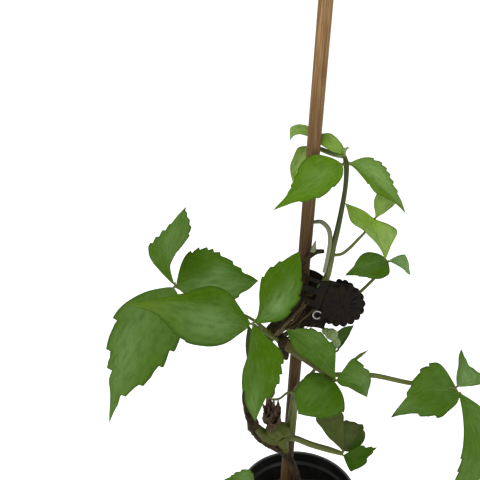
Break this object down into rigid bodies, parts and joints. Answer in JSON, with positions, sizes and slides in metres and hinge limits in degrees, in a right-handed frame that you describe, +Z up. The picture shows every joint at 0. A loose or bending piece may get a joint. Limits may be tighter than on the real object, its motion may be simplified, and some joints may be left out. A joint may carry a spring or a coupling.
{
  "type": "potted clematis",
  "caption": "Young clematis in a round nursery pot, climbing a wooden cane and held to it by a small sprung claw clip.",
  "frame": {"origin": "centre of the pot's flat base", "axes": "+Z up along the plant, +X to the right and +Y away when the plant is seen from the pictured side"},
  "size_m": [0.2528, 0.1119, 0.5122],
  "materials": {
    "pot": "matt moulded black",
    "soil": "crumbly dark compost",
    "cane": "weathered cane with fine grain",
    "bark": "rough peeling bark",
    "shoot": "ribbed green stem",
    "leaf": "satin green leaf",
    "young_leaf": "soft pale green leaf",
    "dull_leaf": "dull grey green leaf",
    "clip": "dark brown moulded plastic",
    "steel": "bright wire",
    "scale": "dry papery brown",
    "bud": "downy pale green"
  },
  "bodies": {
    "planter": {"pot": "pot", "soil": "soil", "cane": "cane", "old_stem": "bark", "green_shoot": "shoot", "lower_shoot": "shoot", "clip_front_jaw": "clip", "clip_pin": "steel", "clip_spring": "steel", "dry_tendril": "bark", "stub_bud": "bud", "leaf_left_front": "leaf", "leaf_left_far": "leaf", "leaf_grey_back": "dull_leaf", "leaf_centre": "leaf", "leaf_right_far": "leaf", "leaf_low_right": "dull_leaf", "leaf_low_left": "leaf", "leaf_small_mid": "dull_leaf", "leaf_right_upper": "young_leaf", "leaf_right_mid": "leaf", "leaf_top_left": "leaf", "leaf_top_right": "leaf", "leaf_tip_front": "young_leaf", "leaf_tip_back": "young_leaf", "leaf_twining": "leaf", "woolly_buds": "bud", "pointed_bud": "shoot", "bud_scales": "scale"},
    "back_jaw": {"clip_back_jaw": "clip"}
  },
  "joints": [
    {"name": "clip_hinge", "type": "hinge", "parent": "planter", "child": "back_jaw", "pos_m": [0.0065, -0.007, 0.25], "axis": [-0.2756, 0, -0.9613], "range_deg": [0, 14], "stiffness_Nm_per_rad": 0.05, "springref_deg": -17.19}
  ]
}
